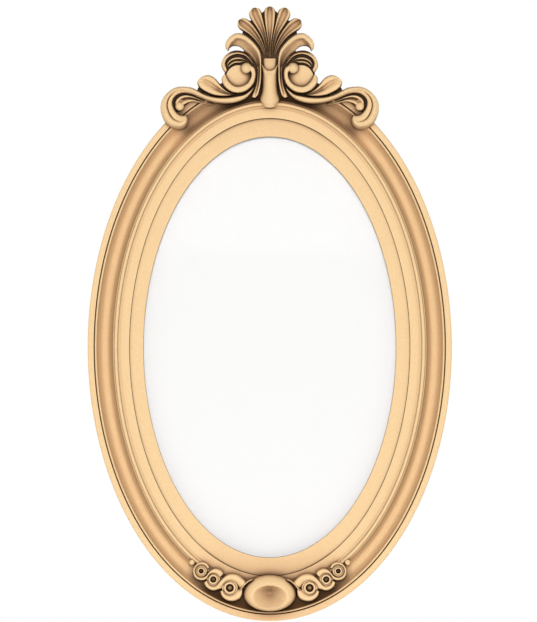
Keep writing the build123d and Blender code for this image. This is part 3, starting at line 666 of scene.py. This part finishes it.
brass_screw = metal("brass_screw", (0.70, 0.50, 0.20, 1), (0.60, 0.42, 0.16, 1), 0.3)

# Finish of each slot of the record, and of the ring's segments by their own names
finishes = {
    "carved_wood": carved_wood,
    "slip_wood": moulding_wood_heavy_shade,
    "ground_wood": ground_wood,
    "dowel_wood": dowel_wood,
    "clear_glass": clear_glass(),
    "white_card": white_card,
    "brown_board": brown_board,
    "zinc_steel": zinc_steel,
    "brass_screw": brass_screw,
    "black_rubber": black_rubber,
}
# The ring's bottom takes the copy with heavier painted shade
ring_finishes = {
    "ring_top": moulding_wood,
    "ring_left": moulding_wood,
    "ring_right": moulding_wood,
    "ring_bottom": moulding_wood_heavy_shade,
}


def dome(radius, shoulder, top):
    """Profile of a ball-shaped front."""
    turns = np.linspace(0, DOME_TURN, DOME_RINGS)
    return [(radius * cos(turn), shoulder + (top - shoulder) * sin(turn)) for turn in turns]


def crest_band(name, edges, knots, rows, rounds=()):
    """Left and right carving of the crest, with the round bosses (x, z, profile) that belong to it."""
    for side, mirrored in SIDES:
        shape = Shape(RING_TOP)
        shape.band(edges, knots, rows, FOOT)
        for x, z, profile in rounds:
            shape.turned(x, z, profile, FOOT)
        shape.build(side + name + "_carved", side + name, mirrored)


def s_scroll():
    """Long scroll whose volute has a creased second band."""
    knots = (0.0, 0.08, 0.2, 0.34, 0.48, 0.55, 0.62, 0.8, 0.93, 1.0)
    rows = (
        (0.0, (19.0, 20.4, 21.4, 21.8, 22.0, 22.0, 22.0, 21.4, 20.4, 19.0)),
        (0.12, (20.5, 23.6, 25.4, 26.2, 26.2, 26.0, 25.8, 24.6, 22.6, 19.6)),
        (0.38, (21.0, 24.4, 26.4, 27.2, 27.0, 26.8, 26.4, 25.0, 23.0, 19.8)),
        (0.46, (21.5, 25.0, 27.0, 27.6, 26.8, 26.2, 25.6, 24.4, 22.8, 20.0)),
        (0.56, (22.0, 25.6, 27.6, 28.0, 26.8, 25.0, 25.8, 25.6, 24.6, 22.0)),
        (0.72, (20.0, 24.4, 27.2, 28.2, 27.2, 24.8, 25.8, 25.6, 24.6, 22.0)),
        (0.82, (17.5, 21.8, 25.8, 28.0, 27.8, 25.6, 25.8, 25.4, 24.4, 22.0)),
        (0.92, (17.0, 21.0, 24.8, 27.4, 27.8, 27.6, 27.2, 26.4, 25.0, 23.0)),
        (1.0, (16.5, 19.6, 22.4, 24.2, 24.8, 24.8, 24.6, 24.0, 23.0, 21.0)),
    )
    crest_band("s_scroll", s_scroll_edges, knots, rows)


def hook_leaf():
    """Two ribbons that run into a small ball inside the volute."""
    knots = (0.0, 0.12, 0.28, 0.44, 0.58, 0.8, 0.93, 1.0)
    rows = (
        (0.0, (12.2, 12.4, 12.6, 12.6, 12.6, 12.6, 12.4, 12.2)),
        (0.14, (16.0, 17.0, 17.2, 16.8, 17.0, 17.2, 16.8, 15.6)),
        (0.32, (19.0, 20.8, 21.0, 19.4, 20.4, 21.6, 20.8, 18.6)),
        (0.62, (20.0, 22.0, 22.2, 19.6, 21.2, 23.2, 22.4, 20.0)),
        (0.8, (20.2, 22.4, 23.0, 21.8, 21.4, 23.0, 22.6, 20.4)),
        (1.0, (20.0, 22.2, 23.2, 23.4, 23.2, 23.0, 22.2, 20.0)),
    )
    crest_band("hook_leaf", hook_leaf_edges, knots, rows, [(-90.4, -33.2, dome(4.9, 20.2, 24.8))])


def c_scroll():
    """Flat round-edged scroll with a ball at its end and a low field inside."""
    knots = (0.0, 0.07, 0.2, 0.5, 0.8, 0.93, 1.0)
    rows = (
        (0.0, (24.0, 24.8, 25.2, 25.4, 25.2, 24.8, 24.0)),
        (0.15, (25.0, 27.6, 28.8, 29.2, 28.8, 27.6, 25.0)),
        (1.0, (25.6, 28.6, 29.9, 30.4, 29.9, 28.6, 26.0)),
    )
    field = ((12.6, 22.2), (12.3, 23.0), (10.8, 23.4), (8.0, 23.7), (4.5, 23.9), (1.5, 24.0))
    rounds = [(-23.4, 4.7, dome(5.6, 26.0, 32.2)), (-31.2, -4.6, field)]
    crest_band("c_scroll", c_scroll_edges, knots, rows, rounds)


def acanthus_leaf():
    """Leaf with a raised rim that folds over at the tip."""
    knots = (0.0, 0.05, 0.14, 0.24, 0.34, 0.44, 0.54, 0.66, 0.78, 0.9, 1.0)
    rows = (
        (0.0, (21.5, 23.4, 24.2, 24.2, 23.8, 23.0, 22.0, 20.8, 19.8, 19.0, 18.4)),
        (0.1, (22.5, 25.0, 25.8, 25.6, 24.6, 23.0, 21.4, 20.0, 19.0, 18.4, 18.0)),
        (0.22, (23.5, 26.6, 27.6, 27.4, 26.2, 24.2, 22.2, 20.4, 19.0, 18.4, 18.0)),
        (0.36, (24.0, 27.4, 28.4, 28.2, 27.0, 24.8, 22.6, 20.8, 19.4, 18.8, 18.2)),
        (0.44, (24.0, 27.6, 28.8, 28.8, 27.8, 25.6, 23.2, 21.4, 20.0, 19.2, 18.4)),
        (0.5, (24.0, 27.6, 29.0, 29.4, 29.2, 26.8, 23.8, 22.0, 20.6, 19.6, 18.6)),
        (0.57, (24.0, 27.6, 29.0, 29.6, 29.8, 28.2, 23.4, 21.8, 20.8, 19.8, 18.8)),
        (0.64, (24.0, 27.4, 28.8, 29.6, 30.0, 30.0, 29.6, 25.4, 22.2, 20.6, 19.2)),
        (0.71, (23.5, 27.0, 28.6, 29.4, 29.8, 30.0, 30.0, 29.4, 25.6, 22.0, 19.8)),
        (0.79, (23.0, 26.4, 28.0, 29.0, 29.4, 29.6, 29.6, 29.2, 28.6, 26.4, 21.0)),
        (1.0, (21.5, 23.6, 24.6, 25.0, 25.2, 25.2, 25.2, 25.0, 24.6, 23.6, 21.5)),
    )
    crest_band("acanthus_leaf", acanthus_edges, knots, rows)


def curls():
    """Outer curl, and the creased inner curl under it."""
    rows = (
        (0.0, (13.0, 14.8, 17.4, 19.8, 21.6, 22.0, 20.6)),
        (0.4, (13.5, 16.4, 19.6, 22.0, 23.4, 23.6, 21.6)),
        (0.58, (16.0, 19.8, 22.4, 23.8, 24.4, 23.8, 21.4)),
        (0.75, (20.5, 23.6, 24.8, 25.0, 24.6, 23.4, 21.0)),
        (1.0, (20.0, 22.0, 22.8, 23.0, 22.8, 22.0, 20.4)),
    )
    crest_band("outer_curl", outer_curl_edges, SEVEN, rows)
    knots = (0.0, 0.1, 0.2, 0.32, 0.42, 0.52, 0.64, 0.78, 0.9, 1.0)
    rows = (
        (0.0, (18.5, 19.6, 20.0, 20.0, 19.6, 19.4, 19.4, 19.2, 18.8, 18.2)),
        (0.25, (19.4, 21.6, 22.2, 21.6, 18.4, 18.4, 20.2, 20.2, 18.6, 18.0)),
        (0.75, (19.4, 21.6, 22.2, 21.6, 18.4, 18.4, 20.2, 20.2, 18.6, 18.0)),
        (1.0, (19.0, 20.8, 21.2, 20.8, 19.2, 19.0, 20.0, 20.0, 18.8, 18.2)),
    )
    ground = ((4.2, 16.6), (3.6, 17.0), (0.8, 17.0))
    crest_band("inner_curl", inner_curl_edges, knots, rows, [(-21.4, 13.4, ground)])


def side_leaf():
    """Leaf of two lobes that meet in a hollow."""
    knots = (0.0, 0.1, 0.24, 0.36, 0.42, 0.54, 0.72, 0.9, 1.0)
    rows = (
        (0.0, (20.5, 21.6, 22.0, 21.8, 21.6, 22.0, 22.2, 21.6, 20.5)),
        (0.35, (21.0, 23.6, 23.8, 21.4, 20.6, 22.0, 24.4, 24.0, 20.0)),
        (0.65, (21.5, 24.6, 25.0, 23.0, 22.2, 23.6, 25.8, 25.2, 20.0)),
        (0.82, (21.5, 25.0, 26.0, 25.6, 25.0, 25.4, 26.2, 25.2, 20.0)),
        (1.0, (20.0, 22.8, 24.0, 24.4, 24.4, 24.4, 24.0, 22.8, 20.0)),
    )
    crest_band("side_leaf", side_leaf_edges, knots, rows)


def stem():
    """Two narrow strips side by side."""
    knots = (0.0, 0.12, 0.3, 0.46, 0.54, 0.7, 0.88, 1.0)
    rows = (
        (0.0, (19.0, 19.4, 19.8, 20.6, 21.8, 24.4, 24.6, 23.0)),
        (0.2, (20.6, 22.2, 22.8, 22.0, 22.4, 24.4, 24.6, 23.0)),
        (0.8, (21.6, 23.4, 24.2, 23.2, 23.2, 24.6, 24.4, 22.6)),
        (1.0, (19.0, 20.8, 21.6, 21.8, 21.8, 21.6, 20.8, 19.0)),
    )
    crest_band("stem", stem_edges, knots, rows)


def shell():
    """Five flutes with raised rims and deep hollows."""
    shape = Shape(RING_TOP)
    knots = (0.0, 0.07, 0.15, 0.23, 0.36, 0.5, 0.64, 0.77, 0.85, 0.93, 1.0)
    half_rows = (
        (0.0, (17.0, 17.6, 17.8, 17.6, 17.2, 17.0)),
        (0.3, (17.8, 20.0, 20.6, 20.0, 18.4, 17.8)),
        (0.6, (19.4, 22.8, 23.6, 22.8, 20.4, 19.6)),
        (0.8, (21.0, 25.0, 26.0, 25.2, 22.8, 21.8)),
        (0.89, (21.6, 25.4, 26.6, 26.2, 24.2, 23.4)),
        (0.95, (22.0, 25.2, 26.6, 27.0, 26.6, 26.2)),
        (1.0, (21.5, 23.4, 24.4, 24.8, 25.0, 25.0)),
    )
    rows = [(along, heights + heights[-2::-1]) for along, heights in half_rows]
    middle = [((-width, z), (width, z)) for width, z in centre_flute_widths]
    shape.band(middle, knots, rows, CREST_FOOT)
    for edges in (flute_one_edges, flute_two_edges):
        shape.band(edges, knots, rows, CREST_FOOT)
        right = [((-b[0], b[1]), (-a[0], a[1])) for a, b in edges]
        shape.band(right, knots, rows, CREST_FOOT)
    shape.build("shell_carved", "shell")


def husk():
    """Bell with horns and a lip at its top, and a bevel above its round tip."""
    columns, rows = 33, 72
    side = 2 * across(columns) - 1
    lip_level, horn_rise = 2.4, 7.0
    tip_level, tip_round = -34.6, 8.0
    edge_height, crown_rise = 20.0, 8.2
    mouth_height, mouth_length = 24.8, 9.0
    bevel_length, bevel_slope = 3.6, 0.9
    lip_half, lip_rise = 0.9, 0.5
    groove_depth, groove_half, groove_below = 0.3, 0.8, 2.4

    widths, levels = zip(*husk_widths)
    top = lip_level + horn_rise * np.abs(side) ** 2.6
    tip = tip_level + tip_round * (1 - np.sqrt(1 - 0.98 * side**2))
    crown = edge_height + crown_rise * (1 - side**2) ** 0.8
    xs, zs, heights = np.zeros((rows, columns)), np.zeros((rows, columns)), np.zeros((rows, columns))
    for i in range(rows):
        level = tip + (top - tip) * i / (rows - 1)
        zs[i] = level
        xs[i] = side * np.interp(level, levels, widths)
        bevel = np.clip(tip + bevel_length - level, 0.0, None)
        mouth = np.clip((level + mouth_length - top) / mouth_length, 0.0, None)
        lip = np.clip(1 - np.abs(top - lip_half - level) / lip_half, 0.0, None)
        groove = np.clip(1 - np.abs(top - groove_below - level) / groove_half, 0.0, None)
        flared = crown + (mouth_height - crown) * mouth**2
        heights[i] = flared - bevel_slope * bevel + lip_rise * lip - groove_depth * groove
    shape = Shape(RING_TOP)
    shape.grid(xs, zs, heights, FOOT)
    shape.build("husk_carved", "husk")


def neck():
    """Short waist between the husk's lip and the shell."""
    half_width = 7.2
    levels = (0.0, 5.0, 10.0, 14.6)
    knots = (0.0, 0.15, 0.5, 0.85, 1.0)
    rows = (
        (0.0, (20.2, 21.4, 21.6, 21.4, 20.2)),
        (0.6, (19.4, 20.6, 20.8, 20.6, 19.4)),
        (1.0, (18.2, 19.2, 19.4, 19.2, 18.2)),
    )
    shape = Shape(RING_TOP)
    shape.band([((-half_width, z), (half_width, z)) for z in levels], knots, rows, CREST_FOOT)
    shape.build("shell_neck_carved", "shell_neck")


def cabochon():
    """Oval boss with a broad slope, a round rim and a dish."""
    half_width, half_tall, middle = 26.7, 18.2, 28.2
    dish_radius, dish_bottom, dish_depth, dish_rings = 17.0, 22.5, 7.3, 12
    slope = [
        (half_width, 17.0, 0.0), (half_width, 20.2, 0.0), (26.2, 22.4, -0.2), (25.1, 24.5, -0.6),
        (23.3, 26.6, -1.2), (21.3, 28.3, -2.0), (19.5, 29.4, -2.7), (18.0, 30.0, -3.2),
    ]
    dish = []
    for share in np.linspace(1.0, 0.06, dish_rings):
        dish.append((dish_radius * share, dish_bottom + dish_depth * share**1.3, 0.2 - 3.6 * share))
    shape = Shape(RING_BOTTOM)
    shape.turned(0.0, middle, slope + dish, FOOT, tall=half_tall / half_width, sides=96)
    # The cabochon takes the copy with heavier painted shade, darkest on the walls of its dish
    shape.build("cabochon_carved", "cabochon", finish=dish_shade_wood)


def eye_profile(outer, inner):
    """Sloping skirt, round ring and a hollow with a low boss."""
    middle = 0.5 * (outer + inner)
    return (
        (outer + 1.8, 22.3), (outer + 0.8, 22.6), (outer + 0.1, 22.8), (outer - 0.05, 24.3),
        (outer - 0.3, 25.1), (middle, 25.3), (inner + 0.3, 25.1), (inner + 0.05, 24.4),
        (inner - 0.2, 20.8), (0.84 * inner, 20.4), (0.66 * inner, 21.4), (0.2 * inner, 21.7),
    )


def waves():
    """Running waves beside the cabochon; the high side changes where the next eye begins."""
    first_high = (18.5, 22.8, 24.2, 24.3, 23.8, 23.0, 22.4)
    second_high = first_high[::-1]
    ribbon = (22.0, 24.4, 25.2, 25.4, 25.2, 24.4, 22.0)
    for side, mirrored in SIDES:
        for name, edges, rows in (
            ("large_wave", large_wave_edges, ((0.55, first_high), (0.7, second_high))),
            ("small_wave", small_wave_edges, ((0.33, first_high), (0.45, second_high))),
            ("wave_lobe", wave_lobe_edges, ((0.0, first_high), (1.0, first_high))),
            ("wave_ribbon", ribbon_edges, ((0.0, ribbon), (1.0, ribbon))),
        ):
            shape = Shape(RING_BOTTOM)
            shape.band(edges, SEVEN, rows, FOOT)
            shape.build(side + name + "_carved", side + name, mirrored)
        shape = Shape(RING_BOTTOM)
        for x, z, outer, inner in wave_eye_rings:
            shape.turned(x, z, eye_profile(outer, inner), FOOT)
        shape.build(side + "wave_eyes_carved", side + "wave_eyes", mirrored)


def pearls():
    """Two end pearls beside the last waves."""
    away, level, radius = 77.8, 59.0, 3.2
    shape = Shape(RING_BOTTOM)
    for x in (-away, away):
        shape.turned(x, level, dome(radius, 20.4, 24.7), FOOT)
    shape.build("pearls_carved", "pearls")


def dress_cad_nodes():
    """Finish of every node that is shown as constructed."""
    slots = {item["node"]: item["material_slot"] for item in frame["record"]["subparts"]}
    for name, node in frame["nodes"].items():
        node.data.materials.clear()
        node.data.materials.append(ring_finishes.get(name, finishes[slots[name]]))


def stage():
    """Pale floor below the frame, soft light from the front, and weaker light on its back."""
    floor_side, floor_back, floor_drop = 1.6, 1.0, 0.06
    floor_mesh = bpy.data.meshes.new("floor")
    level = RING_BOTTOM - floor_drop
    front_corners = [(-floor_side, -floor_side, level), (floor_side, -floor_side, level)]
    back_corners = [(floor_side, floor_back, level), (-floor_side, floor_back, level)]
    floor_mesh.from_pydata(front_corners + back_corners, [], [(0, 1, 2, 3)])
    floor = bpy.data.objects.new("floor", floor_mesh)
    bpy.context.scene.collection.objects.link(floor)
    pale = grained("pale_floor", (0.90, 0.90, 0.90, 1), (0.88, 0.88, 0.88, 1), 12.0, 0.8, 0.02)
    floor_mesh.materials.append(pale)
    for name, spot, size, power in (
        ("key_light", (0.0, -4.96, 0.68), 1.1, 178.0),
        ("left_light", (-2.4, 1.5, 0.8), 1.4, 38.0),
        ("right_light", (2.4, 1.5, 0.8), 1.4, 38.0),
        ("back_light", (0.4, 3.0, 0.9), 1.6, 40.0),
    ):
        lamp = bpy.data.lights.new(name, "AREA")
        lamp.energy = power
        lamp.size = size
        light = bpy.data.objects.new(name, lamp)
        light.location = (OVAL_X + spot[0], spot[1], OVAL_Z + spot[2])
        inwards = Vector((0, 0, 0)) - Vector(spot)
        light.rotation_euler = inwards.to_track_quat("-Z", "Y").to_euler()
        bpy.context.scene.collection.objects.link(light)


def background(tree, strength):
    """Even white light of one strength."""
    node = tree.nodes.new("ShaderNodeBackground")
    node.inputs["Color"].default_value = (1, 1, 1, 1)
    node.inputs["Strength"].default_value = strength
    return node.outputs[0]


def world():
    """White surroundings to look at and to reflect, which light the object only dimly."""
    surroundings = bpy.data.worlds.new("surroundings")
    bpy.context.scene.world = surroundings
    surroundings.use_nodes = True
    tree = surroundings.node_tree
    tree.nodes.clear()
    path = tree.nodes.new("ShaderNodeLightPath")
    seen = path.outputs["Is Camera Ray"]
    for ray in ("Is Glossy Ray", "Is Transmission Ray"):
        seen = arithmetic(tree, "MAXIMUM", seen, path.outputs[ray])
    choose = tree.nodes.new("ShaderNodeMixShader")
    tree.links.new(seen, choose.inputs[0])
    tree.links.new(background(tree, 0.16), choose.inputs[1])
    tree.links.new(background(tree, 1.0), choose.inputs[2])
    output = tree.nodes.new("ShaderNodeOutputWorld")
    tree.links.new(choose.outputs[0], output.inputs["Surface"])


def camera():
    """Long lens straight at the front; the picture is 622 mm tall at mid depth of the frame."""
    distance, picture_tall = 7.0, 0.622
    aim_x, aim_z, mid_depth = -0.00125, 0.0362, 0.018
    lens = bpy.data.cameras.new("camera")
    lens.sensor_width = 36.0
    lens.lens = lens.sensor_width * distance / picture_tall
    lens.clip_end = 50.0
    eye = bpy.data.objects.new("camera", lens)
    eye.location = (OVAL_X + aim_x, BACK_Y - mid_depth - distance, OVAL_Z + aim_z)
    eye.rotation_euler = (radians(90), 0, 0)
    scene = bpy.context.scene
    scene.collection.objects.link(eye)
    scene.camera = eye
    scene.view_settings.view_transform = "Standard"


dress_cad_nodes()
for crest_piece in (s_scroll, hook_leaf, c_scroll, acanthus_leaf, curls, side_leaf, stem, shell, neck, husk):
    crest_piece()
for cartouche_piece in (cabochon, waves, pearls):
    cartouche_piece()
stage()
world()
camera()
